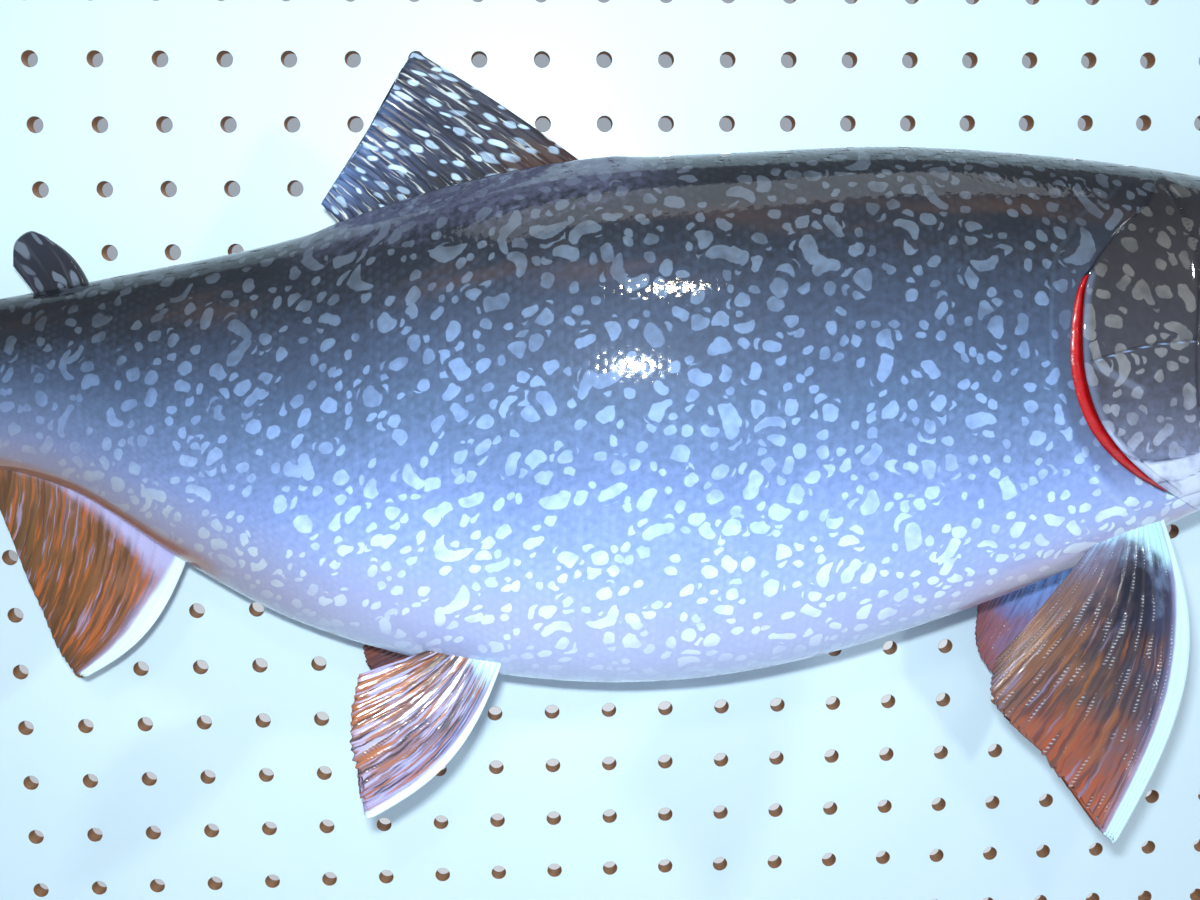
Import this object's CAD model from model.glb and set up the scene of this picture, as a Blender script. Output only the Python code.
import math

import bmesh
import bpy
import numpy as np
from mathutils import Matrix, Vector


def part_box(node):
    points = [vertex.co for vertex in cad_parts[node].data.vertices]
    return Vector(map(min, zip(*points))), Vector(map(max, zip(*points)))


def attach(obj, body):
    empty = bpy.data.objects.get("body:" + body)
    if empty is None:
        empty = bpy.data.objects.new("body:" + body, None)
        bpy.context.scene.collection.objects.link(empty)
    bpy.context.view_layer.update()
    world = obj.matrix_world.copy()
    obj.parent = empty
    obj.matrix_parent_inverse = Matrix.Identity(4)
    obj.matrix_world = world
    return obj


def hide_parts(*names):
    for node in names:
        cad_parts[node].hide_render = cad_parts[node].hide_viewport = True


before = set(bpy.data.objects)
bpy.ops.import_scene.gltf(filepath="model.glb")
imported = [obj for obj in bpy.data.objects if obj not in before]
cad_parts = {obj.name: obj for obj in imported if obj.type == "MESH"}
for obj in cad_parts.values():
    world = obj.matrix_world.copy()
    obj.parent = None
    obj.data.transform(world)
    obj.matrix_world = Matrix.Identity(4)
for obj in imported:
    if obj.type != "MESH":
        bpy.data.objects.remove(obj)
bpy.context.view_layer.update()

mm = 0.001

# ---- camera ----
# A wide lens half a metre from the panel, level with the upper flank. It looks a little down
# and towards the head, so the panel runs out of the view on all four sides.
frame_wide, lens_reach = 1200, 1162.81
camera_data = bpy.data.cameras.new("camera")
camera_data.sensor_width = 36.0
camera_data.lens = camera_data.sensor_width * lens_reach / frame_wide
camera_data.clip_start = 0.01
camera = bpy.data.objects.new("camera", camera_data)
bpy.context.collection.objects.link(camera)
look_right = Vector((0.998156, -0.060158, -0.008103))
look_up = Vector((0.017766, 0.161892, 0.986648))
camera.matrix_world = Matrix((look_right, look_up, look_right.cross(look_up))).transposed().to_4x4()
camera.location = (18.7 * mm, -499.5 * mm, 85.1 * mm)
bpy.context.scene.camera = camera

# ---- floor and light ----
# A plain pale floor well below the panel. Broad softboxes hang overhead and stand behind, and a
# small one stands on the head's side. Two small lamps in front put gleams on the nearest flank.
bpy.context.scene.view_settings.view_transform = "Standard"
bpy.ops.object.select_all(action="DESELECT")
bpy.ops.mesh.primitive_plane_add(size=8, location=(0, 0, -0.5))
floor = bpy.context.object
floor.name = "floor"
floor_paint = bpy.data.materials.new("pale_floor")
floor_paint.use_nodes = True
floor_shader = floor_paint.node_tree.nodes["Principled BSDF"]
floor_shader.inputs["Base Color"].default_value = (0.86, 0.87, 0.89, 1)
floor_shader.inputs["Roughness"].default_value = 0.8
floor.data.materials.append(floor_paint)

# the room gives a little light, and looks brighter than that where it is seen directly
room_light, seen_extra = 0.23, 0.21
sky = bpy.data.worlds.new("soft_room")
sky.use_nodes = True
room = sky.node_tree.nodes["Background"]
room.inputs["Color"].default_value = (0.78, 0.87, 1.0, 1)
seen_directly = sky.node_tree.nodes.new("ShaderNodeLightPath").outputs["Is Camera Ray"]
brighter = sky.node_tree.nodes.new("ShaderNodeMath")
brighter.operation = "MULTIPLY_ADD"
sky.node_tree.links.new(seen_directly, brighter.inputs[0])
brighter.inputs[1].default_value = seen_extra
brighter.inputs[2].default_value = room_light
sky.node_tree.links.new(brighter.outputs[0], room.inputs["Strength"])
bpy.context.scene.world = sky


def softbox(name, place, target, width, height, watts, colour):
    data = bpy.data.lights.new(name, "AREA")
    data.shape = "RECTANGLE"
    data.size, data.size_y = width, height
    data.energy = watts
    data.color = colour
    lamp = bpy.data.objects.new(name, data)
    bpy.context.collection.objects.link(lamp)
    lamp.location = place
    lamp.rotation_euler = (Vector(target) - Vector(place)).to_track_quat("-Z", "Y").to_euler()


softbox("top_light", (0.1, -0.35, 1.4), (0, -0.05, 0.05), 1.5, 0.5, 3.5, (0.86, 0.93, 1.0))
softbox("side_light", (1.95, -1.25, 0.85), (0.1, 0, 0), 0.16, 0.16, 17, (0.9, 0.97, 1.0))
softbox("back_light", (0.4, 1.7, 1.1), (0, 0, -0.1), 1.8, 1.0, 26, (0.96, 0.98, 1.0))
softbox("lens_lamp", (0.005, -0.5, 0.12), (0.005, 0, 0.0), 0.026, 0.014, 2.85, (0.86, 0.94, 0.97))
softbox("warm_lamp", (0.0, -1.3, 0.86), (0.05, 0, 0), 0.11, 0.05, 2.0, (1.0, 0.93, 0.7))

# ---- board ----
# A panel of hardboard faced in white melamine and drilled with quarter-inch peg holes an inch
# apart. One cell with its hole is drawn, laid out in rows and columns, and given its thickness.
class Finish:
    """A surface finish: nodes fed by numbers, colours or other nodes' outputs."""

    def __init__(self, name, **settings):
        self.material = bpy.data.materials.new(name)
        self.material.use_nodes = True
        self.tree = self.material.node_tree
        self.shader = self.tree.nodes["Principled BSDF"]
        for key, value in settings.items():
            self.put(key.replace("_", " ").title().replace("Ior", "IOR"), value)

    def feed(self, socket, value):
        if isinstance(value, bpy.types.NodeSocket):
            self.tree.links.new(value, socket)
        else:
            socket.default_value = value

    def put(self, key, value):
        self.feed(self.shader.inputs[key], value)

    def add(self, kind, inputs, out=0, **settings):
        node = self.tree.nodes.new("ShaderNode" + kind)
        for key, value in settings.items():
            setattr(node, key, value)
        for key, value in inputs.items():
            self.feed(node.inputs[key], value)
        return node.outputs[out]

    def calc(self, operation, a, b=0.0, c=0.0):
        return self.add("Math", {0: a, 1: b, 2: c}, operation=operation)

    def times(self, a, b):
        return self.calc("MULTIPLY", a, b)

    def plus(self, a, b):
        return self.calc("ADD", a, b)

    def less(self, a, b):
        return self.calc("SUBTRACT", a, b)

    def times_plus(self, a, b, c):
        return self.calc("MULTIPLY_ADD", a, b, c)

    def turn(self, operation, a, b=(0, 0, 0)):
        return self.add("VectorMath", {0: a, 1: b}, operation=operation)

    def stretch(self, place, sizes):
        return self.turn("MULTIPLY", place, sizes)

    def shift(self, place, way):
        return self.turn("ADD", place, way)

    def scaled(self, place, size):
        return self.add("VectorMath", {0: place, 3: size}, operation="SCALE")

    def step(self, value, start, end):
        inputs = {"Value": value, "From Min": start, "From Max": end}
        return self.add("MapRange", inputs, interpolation_type="SMOOTHSTEP")

    def blend(self, factor, under, over):
        return self.add("Mix", {0: factor, 6: under, 7: over}, out=2, data_type="RGBA")

    def glaze(self, under, mask, strong, colour):
        """A thin coat of a screen colour, laid where the mask is above zero."""
        return self.blend(self.times(mask, strong), under, tint(*colour))

    def attribute(self, name, out):
        """What each point of a piece stores: output 1 is a vector and output 2 a number."""
        return self.add("Attribute", {}, out=out, attribute_name=name)

    def own_place(self):
        return self.add("TexCoord", {}, out=3)

    def noise(self, place, scale, detail=2.0, out=0):
        return self.add("TexNoise", {"Vector": place, "Scale": scale, "Detail": detail}, out=out)

    def drift(self, place, scale, detail):
        """Noise that strays as far one way as the other in each direction."""
        return self.turn("SUBTRACT", self.noise(place, scale, detail, out=1), (0.5, 0.5, 0.5))

    def split(self, vector):
        node = self.tree.nodes.new("ShaderNodeSeparateXYZ")
        self.feed(node.inputs[0], vector)
        return node.outputs

    def ramp(self, factor, stops):
        node = self.tree.nodes.new("ShaderNodeValToRGB")
        self.feed(node.inputs[0], factor)
        marks = node.color_ramp.elements
        while len(marks) < len(stops):
            marks.new(0.5)
        for mark, (place, colour) in zip(marks, stops):
            mark.position = place
            mark.color = colour
        return node.outputs[0]

    def bump(self, height, distance, strength=1.0):
        inputs = {"Height": height, "Distance": distance, "Strength": strength}
        return self.add("Bump", inputs)


def tint(red, green, blue):
    """A colour on the screen's 0 to 255 scale as the light it stands for."""
    light = [(c / 255 / 12.92 if c <= 10 else ((c / 255 + 0.055) / 1.055) ** 2.4)
             for c in (red, green, blue)]
    return (*light, 1.0)


def face_outwards(piece):
    """Turns every face of a closed piece to look outwards."""
    edit = bmesh.new()
    edit.from_mesh(piece.data)
    bmesh.ops.recalc_face_normals(edit, faces=edit.faces)
    edit.to_mesh(piece.data)
    edit.free()


hole_pitch = 25.4 * mm
hole_radius = 3.175 * mm
hole_chamfer = 0.25 * mm
hole_sides = 24
board_low, board_high = (Vector(corner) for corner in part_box("board"))
board_thick = board_high.y - board_low.y
columns = round((board_high.x - board_low.x) / hole_pitch)
rows = round((board_high.z - board_low.z) / hole_pitch)

bpy.ops.mesh.primitive_circle_add(vertices=hole_sides, radius=hole_radius, rotation=(math.pi / 2, 0, 0))
board = bpy.context.object
board.name = "peg_board"
bpy.ops.object.transform_apply(rotation=True)
bpy.ops.object.mode_set(mode="EDIT")
for _ in range(2):
    bpy.ops.mesh.extrude_region_move()
bpy.ops.object.mode_set(mode="OBJECT")
for index, vertex in enumerate(board.data.vertices):
    ring = index // hole_sides
    out = math.hypot(vertex.co.x, vertex.co.z)
    square = hole_pitch / 2 / max(abs(vertex.co.x), abs(vertex.co.z))
    spread = (1, 1 + hole_chamfer / out, square)[ring]
    vertex.co.x *= spread
    vertex.co.z *= spread
    vertex.co.y = board_low.y + (hole_chamfer if ring == 0 else 0)
    vertex.co.x += board_low.x + hole_pitch / 2
    vertex.co.z += board_low.z + hole_pitch / 2
for axis, count in enumerate((columns, 0, rows)):
    if count:
        array = board.modifiers.new("holes", "ARRAY")
        array.count = count
        array.use_relative_offset = False
        array.use_constant_offset = True
        array.constant_offset_displace = [hole_pitch if a == axis else 0 for a in range(3)]
        array.use_merge_vertices = True
        array.merge_threshold = 0.01 * mm
        bpy.ops.object.modifier_apply(modifier=array.name)
bpy.ops.object.mode_set(mode="EDIT")
bpy.ops.mesh.select_all(action="SELECT")
bpy.ops.mesh.extrude_region_move(TRANSFORM_OT_translate={"value": (0, board_thick, 0)})
bpy.ops.object.mode_set(mode="OBJECT")
face_outwards(board)
for vertex in board.data.vertices:
    vertex.co.y = min(vertex.co.y, board_high.y)
bpy.ops.object.shade_smooth_by_angle(angle=math.radians(30))

melamine = Finish("white_melamine", coat_weight=0.0)
place = melamine.own_place()
_, depth_in, _ = melamine.split(place)
raw_edge = melamine.step(depth_in, board_low.y + 0.05 * mm, board_low.y + 0.2 * mm)
smudge = melamine.noise(place, 9.0, 2.0)
white = melamine.blend(smudge, tint(216, 238, 249), tint(208, 233, 249))
fibre = melamine.noise(place, 900.0, 1.0)
weave = melamine.stretch(place, (4200, 0, 4200))
weave = melamine.turn("SINE", weave)
weave_x, _, weave_z = melamine.split(weave)
screen = melamine.times(weave_x, weave_z)
brown = melamine.blend(fibre, tint(112, 78, 52), tint(158, 118, 82))
at_back = melamine.step(depth_in, -0.4 * mm, -0.05 * mm)
back_brown = melamine.blend(melamine.times(screen, at_back), brown, tint(92, 64, 44))
melamine.put("Base Color", melamine.blend(raw_edge, white, back_brown))
melamine.put("Roughness", melamine.times_plus(raw_edge, 0.5, 0.28))
peel = melamine.noise(place, 260.0, 2.0)
ground = melamine.times(melamine.times(screen, at_back), 0.6)
relief = melamine.plus(melamine.times(peel, 0.05), ground)
melamine.put("Normal", melamine.bump(relief, 0.3 * mm, 0.4))
board.data.materials.append(melamine.material)
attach(board, "root")
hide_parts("board")

# ---- mounting block ----
# A pad of planed softwood between the panel and the flat on the form's far side, with its
# edges eased. Screws through the panel would run into it from behind.
block_low, block_high = (Vector(corner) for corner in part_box("mounting_block"))
bpy.ops.object.select_all(action="DESELECT")
bpy.ops.mesh.primitive_cube_add(size=1, location=(block_low + block_high) / 2)
block = bpy.context.object
block.name = "wood_pad"
block.scale = block_high - block_low
bpy.ops.object.transform_apply(location=True, scale=True)
ease = block.modifiers.new("eased_edges", "BEVEL")
ease.width = 1.2 * mm
ease.segments = 3
bpy.ops.object.modifier_apply(modifier=ease.name)
bpy.ops.object.shade_smooth_by_angle(angle=math.radians(40))
pine = Finish("planed_pine", roughness=0.7)
place = pine.stretch(pine.own_place(), (20, 160, 160))
grain = pine.noise(place, 3.0, 6.0)
pine.put("Base Color", pine.ramp(grain, [(0.35, tint(150, 108, 66)), (0.65, tint(205, 168, 118))]))
pine.put("Normal", pine.bump(grain, 0.3 * mm, 0.4))
block.data.materials.append(pine.material)
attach(block, "root")
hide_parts("mounting_block")

# ---- skin ----
# The fish's own skin over a foam form, filled, painted and varnished. It is one closed surface
# from the root of the tail to the snout: rings of points run round the body, bent so that one
# of them follows the edge of the gill cover, and the bones of the head are raised or cut in it.
snout, nose_start, tail_root = 399 * mm, 372 * mm, -312 * mm
board_front = board_low.y
flat_back = 8 * mm
skin_depth = 0.5 * mm
back_line = mm * np.array([
    (-312, 70), (-255, 66), (-191, 71.5), (-131, 82), (-71, 94), (-11, 112), (37, 121),
    (100, 124.5), (160, 126), (217, 122), (276, 114), (322, 104), (358, 92), (383, 79), (399, 69)])
belly_line = mm * np.array([
    (-312, 6), (-255, 9.5), (-195, 4.5), (-160, -7), (-121, -33), (-78, -57.5), (-29, -73.5),
    (28, -82.5), (76, -82.5), (124, -74.5), (172, -60.5), (220, -42), (276, -15.5), (330, 6.5),
    (370, 26), (399, 43)])
half_width = mm * np.array([
    (-312, 2.4), (-300, 6), (-282, 10.5), (-255, 14), (-195, 20), (-150, 26.5), (-100, 34.5),
    (-50, 42.5), (0, 49), (50, 53), (100, 54.5), (160, 52.5), (211, 49), (250, 46), (290, 39),
    (334, 30), (370, 21), (399, 13)])
stand_off = mm * np.array([
    (-400, 18), (-284, 19.5), (-181, 24), (-111, 30), (-49, 35), (7, 40), (51, 43),
    (101, 45.5), (151, 47.5), (251, 51), (399, 53)])
by_length = np.array([mm, 1])
squareness = by_length * [(-312, 2), (-100, 2.05), (180, 2.15), (260, 2.35), (399, 2.3)]
widest_level = by_length * [
    (-312, 0.5), (-100, 0.53), (100, 0.5), (235, 0.5), (303, 0.31), (350, 0.34), (399, 0.48)]
gill_edge = mm * np.array([
    (-45, 304), (-20, 292), (-9, 266), (6, 240), (23, 222), (42, 213), (62, 211), (79, 214),
    (93, 226), (105, 241), (120, 250), (145, 258)])


def along(line, x):
    """The smooth value at x of a line of (x, value) points."""
    xs, values = line[:, 0], line[:, 1]
    run, rise = np.diff(xs), np.diff(values)
    slope = np.empty_like(values)
    slope[0], slope[-1] = rise[0] / run[0], rise[-1] / run[-1]
    slope[1:-1] = (values[2:] - values[:-2]) / (xs[2:] - xs[:-2])
    k = np.clip(np.searchsorted(xs, x), 1, len(xs) - 1)
    t = np.clip((x - xs[k - 1]) / run[k - 1], 0, 1)
    m0, m1 = slope[k - 1] * run[k - 1], slope[k] * run[k - 1]
    up = rise[k - 1]
    return values[k - 1] + t * (m0 + t * (3 * up - 2 * m0 - m1 + t * (m0 + m1 - 2 * up)))


def middle(x):
    return board_front - along(stand_off, x)


def section_sizes(x):
    nose = np.clip((x - nose_start) / (snout - nose_start), 0, 1)
    blunt = np.sqrt(1 - nose ** 2)
    top, low = along(back_line, x), along(belly_line, x)
    level = low + (top - low) * along(widest_level, x)
    wide = along(half_width, x) * (0.35 + 0.65 * blunt)
    return level, wide, (top - level) * (0.3 + 0.7 * blunt), (level - low) * (0.3 + 0.7 * blunt)


def flesh(x, angle, depth=skin_depth):
    """Points of the smooth body at a depth under the skin of the solids, angle 0 on the near
    flank and a quarter turn on the back."""
    x, angle = np.broadcast_arrays(x, angle)
    level, wide, up, down = section_sizes(x)
    power = 2 / along(squareness, x)
    c, s = np.cos(angle), np.sin(angle)
    y = middle(x) - (wide - depth) * np.sign(c) * np.abs(c) ** power
    z = level + (np.where(s > 0, up, down) - depth) * np.sign(s) * np.abs(s) ** power
    return np.stack([x, np.minimum(y, board_front - flat_back - depth), z], axis=-1)


def outward(x, angle):
    tiny = 0.2 * mm
    lengthwise = flesh(x + tiny, angle) - flesh(x - tiny, angle)
    around = flesh(x, angle + 0.002) - flesh(x, angle - 0.002)
    normal = np.cross(lengthwise, around)
    return normal / (np.linalg.norm(normal, axis=-1, keepdims=True) + 1e-15)


girth_count, girth_turn = 240, 720
girth_x = np.linspace(tail_root, snout, girth_count)
girth_angle = np.linspace(-math.pi / 2, math.pi / 2 + math.pi, girth_turn + 1)
girth_points = flesh(girth_x[:, None], girth_angle[None, :])
girth_step = np.linalg.norm(np.diff(girth_points[..., 1:], axis=1), axis=-1)
girth_way = np.concatenate([np.zeros((girth_count, 1)), np.cumsum(girth_step, axis=1)], axis=1)
girth_way -= girth_way[:, girth_turn // 2][:, None]


def way_round(x, angle):
    """The distance round the body from the back ridge, positive on the far side."""
    last = girth_count - 1
    column = np.clip((x - tail_root) / (snout - tail_root) * last, 0, last - 0.001)
    place = np.mod(angle + math.pi / 2, 2 * math.pi) / (2 * math.pi) * girth_turn
    i, j = column.astype(int), np.minimum(place.astype(int), girth_turn - 1)
    u, v = column - i, place - j
    near = girth_way[i, j] * (1 - v) + girth_way[i, j + 1] * v
    far = girth_way[i + 1, j] * (1 - v) + girth_way[i + 1, j + 1] * v
    return near * (1 - u) + far * u


slit_low, slit_top, slit_wide = -3 * mm, 80 * mm, 4.4 * mm
gill_base = 226 * mm


def bell(value, centre, spread):
    return np.exp(-((value - centre) / spread) ** 2)


def smooth_step(value, start, end):
    t = np.clip((value - start) / (end - start), 0, 1)
    return t * t * (3 - 2 * t)


def slit_opening(z):
    t = np.clip((z - slit_low) / (slit_top - slit_low), 0, 1)
    return slit_wide * np.sqrt(np.sin(math.pi * t) + 1e-9)


def gill_slant(z):
    """How much longer the way along x is than straight across the gill's edge."""
    tiny = 0.5 * mm
    run = (along(gill_edge, z + tiny) - along(gill_edge, z - tiny)) / (2 * tiny)
    return np.sqrt(1 + run ** 2)


def ahead_of_gill(x, z):
    return (x - along(gill_edge, z)) / gill_slant(z)


def to_line(x, z, points):
    """The distance from each side-view place to a bent line of points."""
    nearest = np.full(np.shape(x), 1.0)
    for (x0, z0), (x1, z1) in zip(points, points[1:]):
        dx, dz = x1 - x0, z1 - z0
        t = np.clip(((x - x0) * dx + (z - z0) * dz) / (dx * dx + dz * dz), 0, 1)
        nearest = np.minimum(nearest, np.hypot(x - x0 - t * dx, z - z0 - t * dz))
    return nearest


def within(x, z, outline):
    """True for side-view places inside a closed outline."""
    inside = np.zeros(np.shape(x), bool)
    for (x0, z0), (x1, z1) in zip(outline, np.roll(outline, -1, axis=0)):
        crosses = (z0 > z) != (z1 > z)
        inside ^= crosses & (x < (x1 - x0) * (z - z0) / (z1 - z0 + 1e-12) + x0)
    return inside


def curve(points, count=40):
    """A smooth line through a few points."""
    points = np.asarray(points, float)
    way = np.arange(len(points))
    fine = np.linspace(0, len(points) - 1, count)
    return np.stack([along(np.stack([way, points[:, a]], axis=1), fine) for a in range(2)], axis=1)


preopercle = mm * curve([(250, 108), (255, 85), (254, 55), (257, 30), (268, 10), (284, -1)])
preopercle_by_z = preopercle[::-1, ::-1]
cheek_edge = mm * curve([(268, 100), (273, 80), (273, 55), (279, 38), (292, 27)])
subopercle = mm * curve([(214, 48), (224, 51), (238, 54), (254, 55)])
interopercle = mm * curve([(227, 16), (236, 12), (250, 12), (263, 15)])
throat_rays = [mm * curve(points) for points in (
    [(245, 3), (256, 4), (268, 9), (290, 12)], [(256, -4), (268, -1), (285, 5), (300, 8)],
    [(268, -9), (282, -4), (298, 2), (312, 6)])]
opercle_fold = mm * curve([(216, 47), (223, 43), (233, 38)])
jaw_edge = mm * curve([(300, 10), (325, 19), (352, 31), (376, 43), (392, 52)])
upper_jaw = mm * np.concatenate([
    curve([(386, 62), (350, 53), (318, 43.5), (300, 37), (295, 30)], 24),
    curve([(302, 24), (322, 30), (352, 41), (386, 54)], 24)])
jaw_bone_line = mm * curve([(380, 57.5), (345, 47), (318, 38), (303, 31)])
brow = mm * curve([(262, 104), (285, 99), (310, 94), (334, 90), (356, 83), (376, 72)])
mouth = mm * curve([(404, 55.5), (392, 55), (378, 51), (352, 41), (322, 30), (302, 24.5)])
lower_lip = mm * curve([(402, 51.5), (391, 50.5), (378, 47), (352, 37.5), (324, 27)])
nostrils = mm * np.array([(364.6, 75.2), (360.2, 77.0)])
pores_under_eye = mm * curve([
    (378, 66), (362, 66), (346, 61), (332, 58.5), (318, 62), (308, 71), (300, 82)], 13)
pores_on_cheek = mm * curve([(262, 98), (266, 80), (266, 55), (270, 32), (284, 14)], 10)
pores_on_jaw = mm * curve([(292, 10), (315, 20), (340, 31), (365, 42), (388, 50)], 9)
pores = np.concatenate([pores_under_eye, pores_on_cheek, pores_on_jaw])
eye_x, eye_z, eye_radius = 334 * mm, 77 * mm, 10.2 * mm


def to_nearest(x, z, places):
    """The distance from each side-view place to the nearest of some places."""
    nearest = np.full(np.shape(x), 1.0)
    for x0, z0 in places:
        nearest = np.minimum(nearest, np.hypot(x - x0, z - z0))
    return nearest


def bone_relief(x, z):
    """How far the bones and folds of the head stand out of its smooth form."""
    lead = ahead_of_gill(x, z)
    on_head = smooth_step(lead, 0, 1 * mm)
    cut = np.zeros_like(x)
    for line, wide, high in (
            (preopercle, 1.1, -0.75), (cheek_edge, 2.4, -0.35), (subopercle, 0.8, -0.5),
            (interopercle, 1.0, -0.55), (jaw_edge, 1.6, -0.5), (jaw_bone_line, 0.9, -0.3),
            *((ray, 0.9, -0.5) for ray in throat_rays), (opercle_fold, 2.0, 0.4), (brow, 5, 0.8),
            (mouth, 1.15, -1.9), (lower_lip, 1.8, 0.7), (pores_under_eye, 1.6, -0.25)):
        cut += high * mm * bell(to_line(x, z, line), 0, wide * mm)
    behind_cheek = to_line(x, z, preopercle)
    cut += 0.35 * mm * bell(behind_cheek, 4 * mm, 3 * mm) * (x > along(preopercle_by_z, z))
    edge = to_line(x, z, upper_jaw)
    inside = within(x, z, upper_jaw)
    cut += np.where(inside, 1.2 * mm * smooth_step(edge, 0, 1.3 * mm), -0.5 * mm * bell(edge, 0, mm))
    cut -= 1.7 * mm * bell(to_nearest(x, z, nostrils), 0, 1.25 * mm)
    cut += 0.45 * mm * bell(to_nearest(x, z, nostrils), 2.6 * mm, 0.9 * mm)
    socket = np.hypot(x - eye_x, z - eye_z)
    cut -= 5.5 * mm * (1 - smooth_step(socket, eye_radius - 3 * mm, eye_radius + 0.2 * mm))
    cut -= 0.5 * mm * bell(socket, 17 * mm, 1.6 * mm) * smooth_step(eye_z - z, -6 * mm, 4 * mm)
    cut += 0.5 * mm * bell(socket, 13 * mm, 2.5 * mm)
    return cut * on_head


def body_relief(x, angle, z):
    """Slight swells of the trunk and the bony shoulder behind the gill."""
    swell = np.sin(x / (31 * mm) + 1.3 * np.sin(angle)) * np.sin(2 * angle + x / (57 * mm))
    swell += 0.5 * np.sin(x / (17 * mm) + 3.1 * np.cos(angle + 0.4))
    lead = ahead_of_gill(x, z)
    opening = slit_opening(z)
    beside = smooth_step(z, -12 * mm, 6 * mm) * (1 - smooth_step(z, 48 * mm, 84 * mm))
    shoulder = 1.0 * bell(lead + opening, -9.5 * mm, 3.0 * mm) - 0.5 * bell(lead + opening, -4 * mm, 2.6 * mm)
    from_ridge = np.abs(way_round(x, angle))
    on_skull = smooth_step(x, 285 * mm, 305 * mm) * (1 - smooth_step(x, 362 * mm, 378 * mm))
    skull = -0.5 * bell(from_ridge, 0, 3.5 * mm) * on_skull
    by_dorsal = smooth_step(x, -66 * mm, -50 * mm) * (1 - smooth_step(x, 48 * mm, 66 * mm))
    fin_foot = 1.3 * bell(from_ridge, 5.5 * mm, 4.5 * mm) * by_dorsal
    return 0.16 * mm * swell + mm * shoulder * beside * (lead < 0) + mm * (skull + fin_foot)


ring_count = 288
turn = np.arange(ring_count) / ring_count
ring_angles = 2 * math.pi * turn - 0.25 * np.sin(4 * math.pi * turn)

# each row: its place along the fish before bending, its offset across the gill's edge as a share
# of the slit and in millimetres, its depth in millimetres, and how much the slit's fading shuts it
trunk_rows = [(x, 0, 0, 0) for x in np.concatenate([
    np.arange(-312, 196, 5.0), np.arange(198, 216.5, 1.6)]) * mm]
groove_rows = [(gill_base, share, shift * mm, deep * mm) for share, shift, deep in (
    (-1, -1.6, 0), (-1, -0.7, 0.1), (-1, -0.1, 0.7), (-1, 0.15, 2.2), (-0.6, 0, 2.9), (-0.2, 0, 3.0),
    (0, 1.3, 3.0), (0, 1.6, 1.6), (0, 0.5, 0.8), (0, 0.0, 0.25), (0, 0.12, -0.25), (0, 0.7, -0.45),
    (0, 1.6, -0.5), (0, 2.8, -0.45))]
head_rows = [(x, 0, 0, 0) for x in np.concatenate([
    np.arange(229.8, 300, 0.85), np.arange(300.5, 392, 1.15), np.arange(392.5, 398.7, 0.6),
    [398.8, 399]]) * mm]
station, share, shift, deep = (np.array(column)[:, None] for column in
                               zip(*(trunk_rows + groove_rows + head_rows)))
angle = np.broadcast_to(ring_angles, (len(station), ring_count))
bend = np.where(
    station < gill_base,
    0.5 + 0.5 * np.cos(math.pi * np.clip((gill_base - station) / (115 * mm), 0, 1)),
    0.5 + 0.5 * np.cos(math.pi * np.clip((station - gill_base) / (snout - gill_base), 0, 1)))
x = np.broadcast_to(station, angle.shape).copy()
for _ in range(24):
    z = flesh(x, angle)[..., 2]
    across = share * slit_opening(z) + shift * smooth_step(slit_opening(z), -1 * mm, 2 * mm)
    x += 0.5 * (station + bend * (along(gill_edge, z) - gill_base) + across * gill_slant(z) - x)
    x = np.clip(x, tail_root, snout)
points = flesh(x, angle)
z = points[..., 2]
normal = outward(x, angle)
shut = 0.3 + 0.7 * np.clip(slit_opening(z) / (2.5 * mm), 0, 1)
shut *= smooth_step(z, -17 * mm, -8 * mm) * (1 - smooth_step(z, 79 * mm, 98 * mm))
lift = body_relief(x, angle, z) + bone_relief(x, z) - deep * shut
points = points + normal * lift[..., None]


def tube_faces(ring_total, ring_size):
    """Faces of a closed tube of rings, with a centre point after the last ring at each end."""
    grid = np.arange(ring_total * ring_size).reshape(ring_total, ring_size)
    beside = np.roll(grid, -1, axis=1)
    quads = np.stack([grid[:-1], grid[1:], beside[1:], beside[:-1]], axis=-1).reshape(-1, 4)
    faces = quads.tolist()
    first, last = ring_total * ring_size, ring_total * ring_size + 1
    faces += [(first, a, b) for a, b in zip(grid[0], beside[0])]
    faces += [(last, b, a) for a, b in zip(grid[-1], beside[-1])]
    return faces


def capped(rings):
    """The points of a tube's rings, followed by the middle of its first and of its last ring."""
    return np.concatenate([rings.reshape(-1, 3), [rings[0].mean(axis=0), rings[-1].mean(axis=0)]])


def shell(name, vertices, faces):
    """A new object from points and faces, all smooth."""
    mesh = bpy.data.meshes.new(name)
    mesh.from_pydata(np.asarray(vertices).tolist(), [], faces)
    mesh.validate()
    mesh.polygons.foreach_set("use_smooth", np.ones(len(mesh.polygons), bool))
    piece = bpy.data.objects.new(name, mesh)
    bpy.context.collection.objects.link(piece)
    return piece


def note(piece, name, values):
    """Stores one number or vector for each point of a piece."""
    values = np.asarray(values, float)
    kind = "FLOAT_VECTOR" if values.ndim == 2 else "FLOAT"
    layer = piece.data.attributes.new(name, kind, "POINT")
    layer.data.foreach_set("vector" if values.ndim == 2 else "value", values.ravel())


def lie_on_body(x, angle, z):
    """Length along the fish, way round from the back and height, for the markings."""
    level, wide, up, down = section_sizes(x)
    height = np.where(z > level, 0.5 + 0.5 * (z - level) / up, 0.5 - 0.5 * (level - z) / down)
    return np.stack([x, way_round(x, angle), np.clip(height, 0, 1)], axis=-1)


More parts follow.
